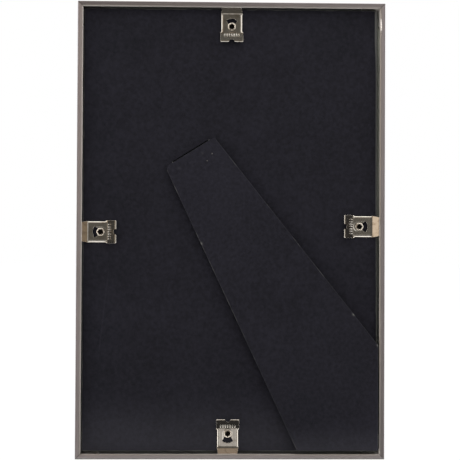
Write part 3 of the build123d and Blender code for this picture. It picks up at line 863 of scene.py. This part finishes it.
def add_piece(name, body, material, points, faces, caps=(), values=None, sharp=None):
    """Mesh object at the origin, made of quads and a few larger cap faces, riding on a body."""
    flat = points.reshape(-1, 3)
    mesh = bpy.data.meshes.new(name)
    mesh.from_pydata(flat, [], [*outward(flat, faces).tolist(), *caps])
    for key, value in (values or {}).items():
        attribute = mesh.attributes.new(key, "FLOAT", "POINT")
        attribute.data.foreach_set("value", np.ravel(value).astype(np.float32))
    work = bmesh.new()
    work.from_mesh(mesh)
    bmesh.ops.remove_doubles(work, verts=work.verts, dist=0.0005 * MM)
    if caps:
        bmesh.ops.recalc_face_normals(work, faces=work.faces)
    work.to_mesh(mesh)
    work.free()
    mesh.shade_smooth()
    if sharp is not None:
        mesh.set_sharp_from_angle(angle=sharp)
    mesh.materials.append(material)
    piece = bpy.data.objects.new(name, mesh)
    bpy.context.scene.collection.objects.link(piece)
    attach(piece, body)
    return piece


def dress(material, *names):
    """CAD nodes keep their shape and take a new material."""
    for name in names:
        slots = frame["nodes"][name].data.materials
        slots.clear()
        slots.append(material)


# Rails


def rail_profile(look, depth, lip_front, count):
    """Channel section, bevelled along the opening: inset from the outer face, and depth from the front."""
    corners = [
        (0, 0),
        (lip_front, 0),
        (lip_front, look.lip),
        (look.wall, look.lip),
        (look.wall, depth - look.lip),
        (look.rim, depth - look.lip),
        (look.rim, depth - look.bevel_drop),
        (look.rim - look.bevel, depth),
        (0, depth),
    ]
    inner, root = look.inner_round, look.inner_round / 4
    radii = (look.outer_round, inner, inner, root, root, inner, root, inner, look.outer_round)
    return evenly(rounded(corners, radii), count, (0, depth / 2))


def rail_points(side, look):
    """The section carried along one rail: its run is shorter by its inset at each end, which is the mitre.

    The lip's edge also waves in and out by the ripple, as a sum of two sines of the run, and a low burr
    stands on the right rail, a squared cosine of the inset that fades out along the run.
    """
    out = OUTWARD[side]
    low, high = box_corners(f"rail_{side}")
    lip_front = ((high - low) * np.abs(out)).sum()
    depth = high[1] - low[1]
    section = rail_profile(look, depth, lip_front, RAIL_AROUND)
    run_along = np.cross(TO_BACK, out)
    half_run = (np.abs(run_along) * (OUTER_HIGH - OUTER_LOW)).sum() / 2 - look.mitre_gap / 2
    stations = np.linspace(-1, 1, RAIL_ALONG)[:, None]
    inset = np.broadcast_to(section[:, 0], (len(stations), len(section)))
    run = stations * (half_run - inset)
    lip = smooth(look.wall, look.rim, inset) * smooth(0.6, 1, section[:, 1] / depth)
    ripple = look.ripple * lip * (np.sin(run / (11 * MM) + 1) + np.sin(run / (4.7 * MM)))
    face = np.where(out > 0, OUTER_HIGH, OUTER_LOW) * np.abs(out)
    across = face - out * (inset + ripple)[..., None]
    centre = MIDDLE * np.abs(run_along) + TO_BACK * low[1]
    points = centre + across + run_along * run[..., None] + TO_BACK * section[:, 1][:, None]
    # The channel's inside, which the material paints dark as shade
    between_lips = np.abs(section[:, 1] - depth / 2) < depth / 2 - 0.9 * look.lip
    inside = np.broadcast_to((section[:, 0] > 0.95 * look.wall) & between_lips, inset.shape)
    away = np.clip(np.abs(inset - look.burr_inset) / look.burr_half, 0, 1)
    on_face = (section[:, 1] > depth - look.inner_round / 2) & (side == "right")
    burr = on_face * np.cos(pi / 2 * away) ** 2 * np.exp(-(((run - look.burr_at) / look.burr_run) ** 4))
    points = points + TO_BACK * (look.burr * burr)[..., None]
    seam = (half_run - inset - np.abs(run)) / np.sqrt(2)
    # Painted light and shade, running from the value at one end of the rail to the value at the other
    first, last = getattr(look, f"dull_{side}")
    place = ((points - OUTER_LOW) / (OUTER_HIGH - OUTER_LOW) * np.abs(run_along)).sum(-1)
    shading = first + (last - first) * place
    values = {"run": run, "inset": inset, "inside": inside, "seam": seam, "shading": shading, "burr": burr}
    return points, values


class FRAME_OT_rails(bpy.types.Operator):
    """Four satin rails, mitred at the corners"""

    bl_idname = "picture_frame.rails"
    bl_label = "Rails"

    def execute(self, context):
        look = context.scene.picture_frame.rails
        metal = satin_metal(look)
        for side in OUTWARD:
            points, values = rail_points(side, look)
            rows, columns = points.shape[:2]
            caps = [list(range(columns)), list(range((rows - 1) * columns, rows * columns))]
            faces = grid_faces(rows, columns, closed=False)
            name = f"satin_rail_{side}"
            piece = add_piece(name, "frame", metal, points, faces, caps, values, SHARP_TURN)
            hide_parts(f"rail_{side}")
        keys = [node for node in frame["nodes"] if "corner_key" in node]
        dress(zinc_steel(context.scene.picture_frame.clips), *keys)
        return {"FINISHED"}


# Board and strut


def strut_frame():
    """Middle of the strut's hinge, then its directions to the right, up the strut and off its face."""
    joint = JOINTS["strut_swing"]
    right = -unit(np.array(joint["axis"], float))
    up = np.cross(TO_BACK, right)
    lean = radians(-joint["range_deg"][0])
    return (
        np.array(joint["pos_m"], float),
        right,
        up * cos(lean) - TO_BACK * sin(lean),
        up * sin(lean) + TO_BACK * cos(lean),
    )


def strut_corners(look):
    """Corners of the strut in its own plane: two tapered sides, cut off level with the frame's edges."""
    middle, right, up, _ = strut_frame()
    low = np.array(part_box("strut_cover")[0]) - middle
    left = look.strut_top / 2 + look.strut_aside
    left_way = np.array((-tan(look.taper_left), -1.0))
    right_way = np.array((tan(look.taper_right), -1.0))
    top_left = np.array((-left, look.overhang))
    top_right = np.array((look.strut_top - left, look.overhang))
    plane = np.stack([right, up])[:, [0, 2]]

    def cut(start, way, axis):
        reach = (low[2 * axis] - start @ plane[:, axis]) / (way @ plane[:, axis])
        return start + reach * way

    foot = np.linalg.solve(plane.T, low[[0, 2]])
    return np.array([top_left, cut(top_left, left_way, 1), foot, cut(top_right, right_way, 0), top_right])


def strut_sheet(look):
    """Paper on the strut, in rows from its middle to its outline, which lie closer towards the outline.

    The outline wavers by a few hundredths of a millimetre where it was cut. The face is the paper's
    thickness plus gentle waves, plus a bell-shaped pucker at each prong, and it sinks at the edge. Wear
    is a bell round each worn spot and a fainter one on each high pucker.
    """
    corners = strut_corners(look)
    radii = np.array((look.strut_worn, *[look.strut_corner] * 4))
    loop = evenly(rounded(corners, radii), STRUT_AROUND, (0, look.overhang))
    middle = loop.mean(0)
    away = unit(loop - middle)
    trim = look.waver * (waves(loop[:, 0] * 6, loop[:, 1] * 6, 3) - 0.5)
    loop = loop + away * trim[:, None]
    s = np.linspace(0, 1, STRUT_ROWS)[:, None, None] ** 0.6
    flat = middle + s * (loop - middle)

    sides = np.roll(corners, -1, 0) - corners
    inward = unit(np.stack([-sides[:, 1], sides[:, 0]], axis=-1))
    gaps = np.abs(((flat[..., None, :] - corners) * inward).sum(-1))
    gap = gaps.min(-1)
    chips = (
        corners[0] + look.chip_left * (corners[1] - corners[0]),
        corners[4] + look.chip_right * (corners[3] - corners[4]),
        corners[3],
    )
    near = np.min([np.linalg.norm(flat - place, axis=-1) for place in chips], axis=0)
    worn = 0.9 * np.exp(-((near / look.chip) ** 2))
    paper = BOARD_HIGH[1] - BOARD_LOW[1]
    face = paper + look.ripple * waves(flat[..., 0], flat[..., 1], 5)
    for aside, down, height in look.puckers():
        reach = np.hypot(flat[..., 0] - aside, flat[..., 1] + down)
        face = face + height * look.pucker * np.exp(-((reach / look.pucker_reach) ** 2))
        worn = np.maximum(worn, 0.09 * max(0, height - 1) * np.exp(-((reach / look.chip) ** 2)))
    face = face - 0.4 * paper * (1 - smooth(0, look.sink, gap)) ** 2

    origin, right, up, off = strut_frame()
    under = origin + flat[..., :1] * right + flat[..., 1:] * up + (look.strut_face - paper) * off
    lift = face[..., None] * off / 2
    skin = sheet_skin(under + lift, lift, PAPER_EDGE, holed=False, sparse=STRUT_SPARSE)

    def skinned(values):
        rim = np.repeat(values[-1:], 2 * EDGE_STEPS, 0)
        return np.concatenate([values[:-1], rim, values[:-1][::-STRUT_SPARSE]])

    return skin, {"edge": skinned(gaps[..., :4].min(-1)), "worn": skinned(worn)}


class FRAME_OT_board(bpy.types.Operator):
    """Backing board with its flock paper, slit for the hinge"""

    bl_idname = "picture_frame.board"
    bl_label = "Board"

    def execute(self, context):
        look = context.scene.picture_frame.board
        paper = flock_paper(
            look,
            "flock_backing",
            lambda g, place: g.box_gap(place, "backing_cover"),
            lambda g, place: slit_wear_and_edge_light(g, place, look),
            look.dust_high,
            mark=crease_mark,
        )
        dress(paper, "backing_cover")
        dress(cut_board(look), "backing_board", "strut_board")
        return {"FINISHED"}


class FRAME_OT_strut(bpy.types.Operator):
    """Flock paper on the leg, with its worn edges"""

    bl_idname = "picture_frame.strut"
    bl_label = "Strut"

    def execute(self, context):
        look = context.scene.picture_frame.board
        paper = flock_paper(
            look,
            "flock_strut",
            lambda g, place: g.attribute("edge"),
            lambda g, place: g.attribute("worn"),
            0.55 * look.dust_high,
            look.strut_tone,
            lighter_near_hinge,
        )
        points, values = strut_sheet(look)
        faces = grid_faces(*points.shape[:2], closed=False)
        piece = add_piece("strut_paper", "strut", paper, points, faces, values=values)
        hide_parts("strut_cover")
        return {"FINISHED"}


# Clips and eyelets


def clip_bend(shape):
    """Middle line of a clip: distance along the blank, then x and height over the board.

    The slope changes smoothly over each bend, and x and height are the running sums of its cosine and
    sine, both from the eyelet. The nose rises from its bend and levels out under the rail's lip, and
    the tab rises the other way and turns down at its end.
    """
    level = shape.top - shape.sheet / 2
    rise = shape.nose_top - shape.top
    nose_flat = shape.nose_bend + rise / sin(shape.nose_slope)
    nose_end = nose_flat + shape.nose_tip - shape.nose_bend
    nose_end = nose_end - rise * cos(shape.nose_slope) / sin(shape.nose_slope)
    lip_bend = shape.tab_bend + (shape.tab_end - shape.tab_bend) / cos(shape.tab_slope) - shape.bend
    blank = np.linspace(-lip_bend - shape.tab_lip, nose_end, CLIP_LINE)

    def turned(start, curl, distance):
        return smooth(start - curl / 2, start + curl / 2, distance)

    slope = shape.nose_slope * (
        turned(shape.nose_bend, shape.nose_curl, blank) - turned(nose_flat, shape.bend, blank)
    )
    slope = slope - shape.tab_slope * turned(shape.tab_bend, shape.tab_curl, -blank)
    slope = slope + (shape.tab_slope + LIP_TURN) * turned(lip_bend + shape.bend / 2, shape.bend, -blank)
    step = blank[1] - blank[0]
    x, height = np.cumsum(np.cos(slope)) * step, np.cumsum(np.sin(slope)) * step
    return blank, x - np.interp(0, blank, x), level + height - np.interp(0, blank, height)


def clip_outline(shape, blank, x, count):
    """Blank of a clip: nose, rolled sides laid flat, tab with round corners, and the thumb notch."""
    nose, tab = blank[-1], blank[0]
    notch = np.interp(shape.notch_depth - shape.tab_end, x, blank)
    roll = shape.roll - shape.sheet / 2
    side = shape.width / 2 - shape.roll * sin(shape.side_turn) + roll * shape.side_turn
    bend = shape.nose_bend - 0.4 * MM
    half = [
        (nose, shape.nose_end / 2),
        (shape.nose_bend, shape.nose_root / 2),
        (bend, side),
        (-shape.side_back, side),
        (-shape.tab_bend, shape.tab_width / 2),
        (tab, shape.tab_width / 2),
        (tab, shape.notch / 2),
        (notch, shape.notch_floor / 2),
    ]
    mirrored = [(p, -q) for p, q in reversed(half)]
    fine = shape.edge * 2
    radii = [0.6 * MM, fine, 0.3 * MM, 1.0 * MM, 1.0 * MM, shape.tab_corner, 0.4 * MM, 0.4 * MM]
    return evenly(rounded(half + mirrored, radii + radii[::-1]), count, (nose, 0))


def clip_hole(shape, count):
    """Slot round the eyelet, opening outwards into a crescent: two arcs, joined over a short step."""
    swing = shape.crescent_swing
    step = radians(12)
    fan = np.linspace(-swing, swing, 40)
    back = np.linspace(swing + step, 2 * pi - swing - step, 60)
    far = shape.crescent * np.stack([np.cos(fan), np.sin(fan)], axis=-1)
    near = shape.slot * np.stack([np.cos(back), np.sin(back)], axis=-1)
    return evenly(np.vstack([far, near]), count, (shape.crescent, 0))


def clip_points(shape):
    """Bent and pressed sheet of a clip, in rows from slot to outline: x to the rail, y across, z up.

    A point of the blank keeps its distance p along the middle line. Across it, the sides turn down along
    an arc of the roll, whose curvature fades towards the tab and ends at the nose. A shallow pocket is
    pressed in round the slot, and a row of short ribs is pressed out of the tab.
    """
    blank, x_line, z_line = clip_bend(shape)
    hole = clip_hole(shape, CLIP_AROUND)
    edge = clip_outline(shape, blank, x_line, CLIP_AROUND)
    s = np.linspace(0, 1, CLIP_ROWS)[:, None, None]
    p, q = np.moveaxis(hole + s * (edge - hole), -1, 0)

    roll = shape.roll - shape.sheet / 2
    flat = shape.width / 2 - shape.roll * sin(shape.side_turn)
    kept = shape.tab_turn + (1 - shape.tab_turn) * smooth(-shape.tab_bend, -shape.side_back, p)
    kept = kept * (1 - 0.99 * smooth(shape.nose_bend - 0.6 * MM, shape.nose_bend, p))
    turn = kept * np.clip(np.abs(q) - flat, 0, None) / roll
    y = np.minimum(np.abs(q), flat) + roll / kept * np.sin(turn)
    drop = roll / kept * (1 - np.cos(turn))

    reach = np.hypot(p - np.clip(p, 0, shape.travel), q) - shape.pocket_round
    pocket = shape.pocket * smooth(shape.pocket_edge / 2, -shape.pocket_edge / 2, reach)
    rib_at = -shape.tab_bend - (shape.rib_at - shape.tab_bend) / cos(shape.tab_slope)
    nearest = np.clip(np.round(q / shape.rib_pitch), -(shape.ribs // 2), shape.ribs // 2) * shape.rib_pitch
    from_rib = np.hypot(
        p - np.clip(p, rib_at - shape.rib_run / 2, rib_at + shape.rib_run / 2), q - nearest
    )
    ribs = shape.rib_height * smooth(shape.rib_half, 0.35 * shape.rib_half, from_rib)
    z = np.interp(p, blank, z_line) - drop - pocket + ribs
    return np.stack([np.interp(p, blank, x_line), np.sign(q) * y, z], axis=-1)


class FRAME_OT_clips(bpy.types.Operator):
    """Four pressed clips with rolled sides, each sliding on its eyelet"""

    bl_idname = "picture_frame.clips"
    bl_label = "Clips"

    def execute(self, context):
        shape = context.scene.picture_frame.clips
        nickel = nickel_plate(shape, "bright_nickel", 0.0)
        middle = clip_points(shape)
        along = np.roll(middle, -1, 1) - np.roll(middle, 1, 1)
        normal = unit(np.cross(np.gradient(middle, axis=0), along))
        skin = sheet_skin(middle, normal * shape.sheet / 2, shape.edge, holed=True)
        faces = grid_faces(*skin.shape[:2], closed=True)
        for side, out in OUTWARD.items():
            drawn = -JOINTS[f"clip_{side}_slide"]["range_m"][0]
            seat = at_depth(box_middle(f"eyelet_{side}"), BOARD_FACE) - out * drawn
            points = seat + skin @ side_axes(side)
            piece = add_piece(f"nickel_clip_{side}", f"clip_{side}", nickel, points, faces)
            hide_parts(f"clip_{side}")
        return {"FINISHED"}


def eyelet_points(shape, tall):
    """Section of a hollow rivet carried round its axis, with z from the inside of the board.

    Radius and height follow the bore up into a rolled flange, down the barrel and round the head. The
    flange's radius is drawn in between its six corners by a cosine of six times the angle.
    """
    head, under = shape.head_depth, tall - shape.flange_depth
    roll = shape.flange_depth / 2
    curl = np.linspace(-pi / 2, pi, 16)[::-1] + pi / 2
    rolled = [shape.flange - roll + roll * np.sin(curl) * 0.9, under + roll + roll * np.cos(curl)]
    throat = np.linspace(0, pi / 2, 8)
    reach = shape.flange - roll - shape.bore
    flare = [shape.bore + 0.25 * reach * (1 - np.cos(throat)), tall - 0.5 * reach * (1 - np.sin(throat))]
    outer = [
        (shape.barrel, under),
        (shape.barrel, head),
        (shape.head, head),
        (shape.head, 0),
        (shape.bore, 0),
    ]
    section = np.concatenate([np.stack(flare, axis=-1), np.stack(rolled, axis=-1), np.array(outer)])
    around = np.linspace(0, 2 * pi, EYELET_AROUND, endpoint=False)
    drawn = smooth(shape.bore, shape.flange, section[:, 0]) * (section[:, 1] > head + roll)
    radius = section[:, 0] * (1 - drawn * shape.flats / 2 * (1 - np.cos(6 * around))[:, None])
    height = np.broadcast_to(section[:, 1], radius.shape)
    return np.stack([radius * np.cos(around)[:, None], radius * np.sin(around)[:, None], height], axis=-1)


class FRAME_OT_eyelets(bpy.types.Operator):
    """Four hollow rivets with rolled six-sided flanges"""

    bl_idname = "picture_frame.eyelets"
    bl_label = "Eyelets"

    def execute(self, context):
        shape = context.scene.picture_frame.eyelets
        nickel = nickel_plate(context.scene.picture_frame.clips, "dulled_nickel", 0.6)
        for side in OUTWARD:
            node = f"eyelet_{side}"
            low, high = box_corners(node)
            ring = eyelet_points(shape, high[1] - low[1])
            faces = grid_faces(*ring.shape[:2], closed=True)
            points = at_depth(box_middle(node), low[1]) + ring @ side_axes(side)
            piece = add_piece(f"rolled_{node}", "frame", nickel, points, faces, sharp=SHARP_TURN)
            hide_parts(node)
        return {"FINISHED"}


class FRAME_OT_hinge(bpy.types.Operator):
    """Steel leaves and pin of the strut's hinge"""

    bl_idname = "picture_frame.hinge"
    bl_label = "Hinge"

    def execute(self, context):
        look = context.scene.picture_frame
        steel = black_steel(look.clips, look.board)
        dress(steel, "hinge_board_leaf", "hinge_pin", "hinge_strut_leaf")
        return {"FINISHED"}


def insert_points(look):
    """Thin sheet in rows from its middle to its outline, just clear of the glass.

    Its back is flat on the board, and its front waves by a sum of sines of width and height.
    """
    low, high = box_corners("picture_insert")
    wide, _, tall = (high - low) / 2
    corners = [(-wide, -tall), (wide, -tall), (wide, tall), (-wide, tall)]
    loop = evenly(rounded(corners, INSERT_CORNER), INSERT_AROUND, (0, -tall))
    flat = np.linspace(0, 1, INSERT_ROWS)[:, None, None] * loop
    thick = high[1] - low[1] - look.air - look.wave * waves(flat[..., 0], flat[..., 1], 7)
    lift = thick[..., None] / 2 * -TO_BACK
    spread = np.stack([flat[..., 0], np.zeros(flat.shape[:2]), flat[..., 1]], axis=-1)
    back = at_depth(box_middle("picture_insert"), high[1])
    return sheet_skin(back + spread + lift, lift, INSERT_EDGE, holed=False)


class FRAME_OT_glazing(bpy.types.Operator):
    """Glass pane and the plain sheet behind it"""

    bl_idname = "picture_frame.glazing"
    bl_label = "Glass and insert"

    def execute(self, context):
        look = context.scene.picture_frame.glazing
        dress(clear_glass(look), "glass_pane")
        frame["nodes"]["glass_pane"].visible_shadow = False
        points = insert_points(look)
        faces = grid_faces(*points.shape[:2], closed=False)
        piece = add_piece("insert_sheet", "frame", insert_paper(look), points, faces)
        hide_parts("picture_insert")
        return {"FINISHED"}


# Stage


def stage_mesh(name, points, faces, material):
    mesh = bpy.data.meshes.new(name)
    mesh.from_pydata(points.reshape(-1, 3), [], faces.tolist())
    mesh.materials.append(material)
    thing = bpy.data.objects.new(name, mesh)
    bpy.context.scene.collection.objects.link(thing)
    return thing


def card_points():
    """Part of a sphere about +Y: one ring of points for each angle from that axis, the first a pinhole."""
    around = np.linspace(0, 2 * pi, CARD_AROUND, endpoint=False)
    angles = np.linspace(0.001, CARD_SPREAD, CARD_RINGS)[:, None]
    front = np.broadcast_to(np.cos(angles), (CARD_RINGS, CARD_AROUND))
    spread = np.sin(angles)
    return CARD_RADIUS * np.stack([spread * np.cos(around), front, spread * np.sin(around)], axis=-1)


def floor_material(look):
    """Pale floor, white to the camera apart from the shadow on it."""
    g = new_material("pale_floor")
    plain = g.node("ShaderNodeBsdfDiffuse", inputs={"Color": (*look.floor, 1.0)})
    white = g.node("ShaderNodeEmission", inputs={"Color": WHITE, "Strength": look.floor_glow})
    g.output(g.mixed(g.seen() * (1 - look.shadow), plain, white))
    return g.owner


def card_material(look):
    """Dark card round the camera, with paler strips on it and the white tent beyond its edge.

    The bands are bounded by the parts of the direction from the frame: to the left, up and to the camera.
    """
    g = new_material("dark_card")
    way = g.node("ShaderNodeVectorMath", {"operation": "NORMALIZE"}, {0: g.place()}, "Vector")
    left, front, up = (g.part(way, axis) for axis in range(3))

    def strip(value, start, end, soft):
        return g.ramp(value, start - soft, start + soft) * g.ramp(value, end + soft, end - soft)

    low = g.blend(strip(left, -0.10, 0.10, 0.04), look.card_front, look.card_middle)
    bands = (
        (g.ramp(up, -0.34, -0.42), look.card_low),
        (g.ramp(front, 0.80, 0.74), look.card_rim),
        (g.ramp(up, 0.34, 0.42), look.card_high),
        (g.ramp(up, 0.56, 0.64), look.card_brow),
        (strip(left, -0.62, -0.47, 0.02) * strip(up, -0.3, 0.3, 0.1), look.card_brown),
        (strip(left, 0.38, 0.58, 0.04) * strip(up, -0.16, 0.50, 0.12), look.card_left),
        (strip(left, -0.42, -0.24, 0.03) * strip(up, 0.0, 0.50, 0.12), look.card_right),
        (strip(up, -0.32, -0.14, 0.03) * strip(left, -0.34, 0.34, 0.08), low),
    )
    shade = look.card
    for mask, tone in bands:
        shade = g.blend(mask, shade, tone)
    card = g.node("ShaderNodeEmission", inputs={"Color": shade})
    tent = g.node("ShaderNodeEmission", inputs={"Color": (*look.tent, 1.0), "Strength": look.tent_glow})
    g.output(g.mixed(g.ramp(front, 0.58, 0.52), card, tent))
    return g.owner


def add_lamp(name, energy, size, place):
    """Soft square lamp that faces the middle of the frame."""
    lamp = bpy.data.lights.new(name, "AREA")
    lamp.energy = energy
    lamp.size = size
    thing = bpy.data.objects.new(name, lamp)
    thing.location = place
    back = unit(np.array(place) - MIDDLE)
    thing.rotation_euler = (np.arccos(back[2]), 0, np.arctan2(back[0], -back[1]))
    thing.visible_glossy = False
    bpy.context.scene.collection.objects.link(thing)


class FRAME_OT_stage(bpy.types.Operator):
    """Floor, tent, lamps and camera"""

    bl_idname = "picture_frame.stage"
    bl_label = "Stage"

    def execute(self, context):
        scene = context.scene
        look = scene.picture_frame.stage
        scene.view_settings.view_transform = "Standard"

        g = Graph(bpy.data.worlds.new("white_tent"))
        lit = g.node("ShaderNodeBackground", inputs={"Color": WHITE, "Strength": look.ambient})
        plain = g.node("ShaderNodeBackground", inputs={"Color": WHITE, "Strength": 1.0})
        g.output(g.mixed(g.seen(), lit, plain), "ShaderNodeOutputWorld")
        scene.world = g.owner

        floor = FLOOR_REACH * np.array([(-1, -1, 0), (1, -1, 0), (1, 1, 0), (-1, 1, 0)])
        ground = stage_mesh("floor", floor, np.array([[0, 1, 2, 3]]), floor_material(look))
        ground.visible_glossy = False

        faces = grid_faces(CARD_RINGS, CARD_AROUND, closed=False)
        card = stage_mesh("dark_card", card_points(), faces, card_material(look))
        card.location = MIDDLE
        card.visible_camera = False
        card.visible_diffuse = False
        card.visible_transmission = False
        card.visible_shadow = False

        add_lamp("key", look.key, look.key_size, look.key_place)
        add_lamp("fill", look.fill, look.fill_size, look.fill_place)

        camera = bpy.data.cameras.new("camera")
        camera.lens = look.lens
        camera.sensor_width = 36.0
        camera.clip_start = 0.01
        thing = bpy.data.objects.new("camera", camera)
        thing.location = look.stand
        thing.rotation_euler = look.aim
        scene.collection.objects.link(thing)
        scene.camera = thing
        return {"FINISHED"}


class FRAME_PT_panel(bpy.types.Panel):
    """Lists the frame's operators and settings"""

    bl_idname = "FRAME_PT_panel"
    bl_label = "Picture Frame"
    bl_space_type = "VIEW_3D"
    bl_region_type = "UI"
    bl_category = "Picture Frame"

    def draw(self, context):
        for operator in OPERATORS:
            self.layout.operator(operator.bl_idname)
        for group in PictureFrameSettings.__annotations__:
            settings = getattr(context.scene.picture_frame, group)
            column = self.layout.column(heading=group.title())
            for key in settings.__annotations__:
                column.prop(settings, key)


OPERATORS = (
    FRAME_OT_rails,
    FRAME_OT_board,
    FRAME_OT_strut,
    FRAME_OT_clips,
    FRAME_OT_eyelets,
    FRAME_OT_hinge,
    FRAME_OT_glazing,
    FRAME_OT_stage,
)
SETTINGS = (
    RailSettings,
    BoardSettings,
    ClipSettings,
    EyeletSettings,
    GlazingSettings,
    StageSettings,
    PictureFrameSettings,
)
CLASSES = (*SETTINGS, *OPERATORS, FRAME_PT_panel)


def register():
    for cls in CLASSES:
        bpy.utils.register_class(cls)
    bpy.types.Scene.picture_frame = PointerProperty(type=PictureFrameSettings)


def unregister():
    del bpy.types.Scene.picture_frame
    for cls in reversed(CLASSES):
        bpy.utils.unregister_class(cls)


def main():
    register()
    bpy.ops.picture_frame.rails()
    bpy.ops.picture_frame.board()
    bpy.ops.picture_frame.strut()
    bpy.ops.picture_frame.clips()
    bpy.ops.picture_frame.eyelets()
    bpy.ops.picture_frame.hinge()
    bpy.ops.picture_frame.glazing()
    bpy.ops.picture_frame.stage()


if __name__ == "__main__":
    main()
